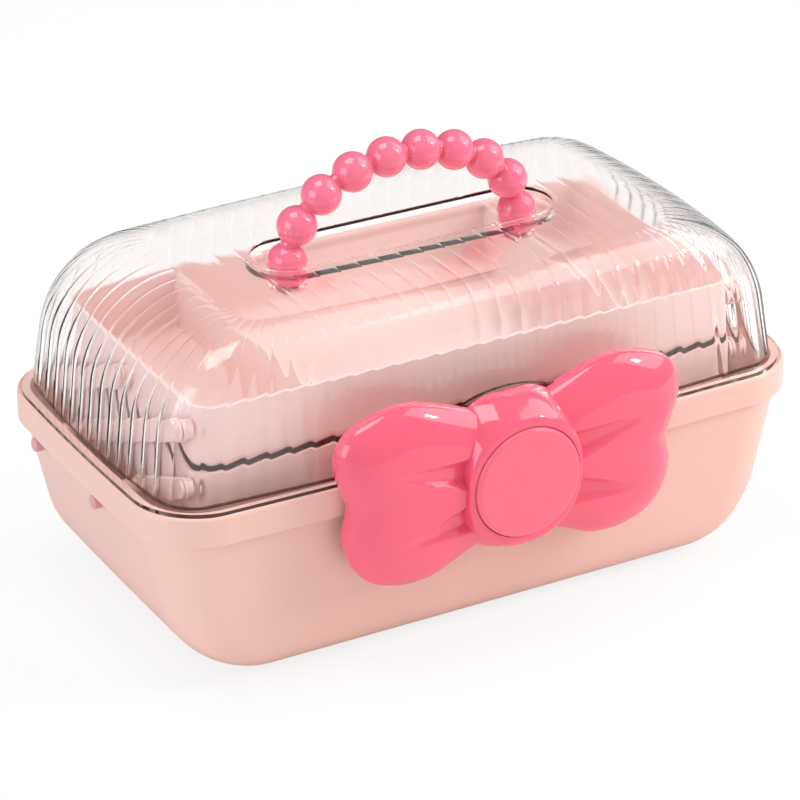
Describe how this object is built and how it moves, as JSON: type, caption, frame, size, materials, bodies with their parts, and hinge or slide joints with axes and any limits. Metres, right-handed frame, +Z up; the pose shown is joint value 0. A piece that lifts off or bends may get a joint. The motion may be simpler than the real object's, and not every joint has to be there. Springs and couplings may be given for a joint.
{
  "type": "makeup storage case",
  "caption": "Deep pink storage case with a fluted clear lid, bead carrying handle, bow latch with push button, and trays that swing up on side links as the lid opens.",
  "frame": {"origin": "middle of the case's footprint on the surface that the feet stand on", "axes": "+X along the length, -Y towards the front with the bow, +Z up"},
  "size_m": [0.3238, 0.2064, 0.2027],
  "materials": {
    "tub_plastic": "satin",
    "foot_rubber": "matt",
    "clear_plastic": "clear",
    "steel": "bright",
    "bead_plastic": "glossy",
    "tray_plastic": "satin",
    "bow_plastic": "glossy",
    "button_plastic": "glossy",
    "catch_plastic": "satin",
    "link_plastic": "satin"
  },
  "bodies": {
    "base": {"tub": "tub_plastic", "feet": "foot_rubber", "hinge_pins": "steel", "base_pins": "link_plastic", "bow_shell": "bow_plastic", "bow_plate": "bow_plastic", "bow_screws": "steel", "button_springs": "steel", "catch_tongue": "catch_plastic", "catch_screws": "steel"},
    "lid": {"lid": "clear_plastic", "bead_handle": "bead_plastic", "handle_screws": "steel"},
    "button": {"push_button": "button_plastic"},
    "long_links": {"long_link_right": "link_plastic", "long_link_left": "link_plastic"},
    "front_links": {"front_link_right": "link_plastic", "front_link_left": "link_plastic"},
    "lower_tray": {"lower_tray": "tray_plastic", "tray_dividers": "tray_plastic", "lower_tray_pins": "link_plastic"},
    "upper_tray": {"upper_tray": "tray_plastic", "upper_tray_pins": "link_plastic"},
    "rear_links": {"rear_link_right": "link_plastic", "rear_link_left": "link_plastic"}
  },
  "joints": [
    {"name": "lid_hinge", "type": "hinge", "parent": "base", "child": "lid", "pos_m": [0, 0.09875, 0.088], "axis": [-1, 0, 0], "range_deg": [0, 110], "deforming": ["catch_tongue"]},
    {"name": "button_press", "type": "slide", "parent": "base", "child": "button", "axis": [0, 1, 0], "range_m": [0, 0.003], "stiffness_N_per_m": 300, "springref_m": -0.004, "deforming": ["catch_tongue", "button_springs"]},
    {"name": "long_link_pivot", "type": "hinge", "parent": "base", "child": "long_links", "pos_m": [0, 0.04955, 0.0735], "axis": [-1, 0, 0], "range_deg": [0, 55]},
    {"name": "front_link_pivot", "type": "hinge", "parent": "base", "child": "front_links", "pos_m": [0, -0.01075, 0.0735], "axis": [-1, 0, 0], "range_deg": [0, 55]},
    {"name": "lower_tray_pivot", "type": "hinge", "parent": "long_links", "child": "lower_tray", "pos_m": [0, 0.00927, 0.09194], "axis": [-1, 0, 0], "range_deg": [-55, 0]},
    {"name": "upper_tray_pivot", "type": "hinge", "parent": "long_links", "child": "upper_tray", "pos_m": [0, -0.04992, 0.11904], "axis": [-1, 0, 0], "range_deg": [-55, 0]},
    {"name": "rear_link_pivot", "type": "hinge", "parent": "lower_tray", "child": "rear_links", "pos_m": [0, 0.06627, 0.09194], "axis": [-1, 0, 0], "range_deg": [0, 55]}
  ],
  "couplings": [
    {"joint": "long_link_pivot", "follows": "lid_hinge", "ratio": 0.5},
    {"joint": "front_link_pivot", "follows": "lid_hinge", "ratio": 0.5},
    {"joint": "lower_tray_pivot", "follows": "lid_hinge", "ratio": -0.5},
    {"joint": "upper_tray_pivot", "follows": "lid_hinge", "ratio": -0.5},
    {"joint": "rear_link_pivot", "follows": "lid_hinge", "ratio": 0.5}
  ]
}
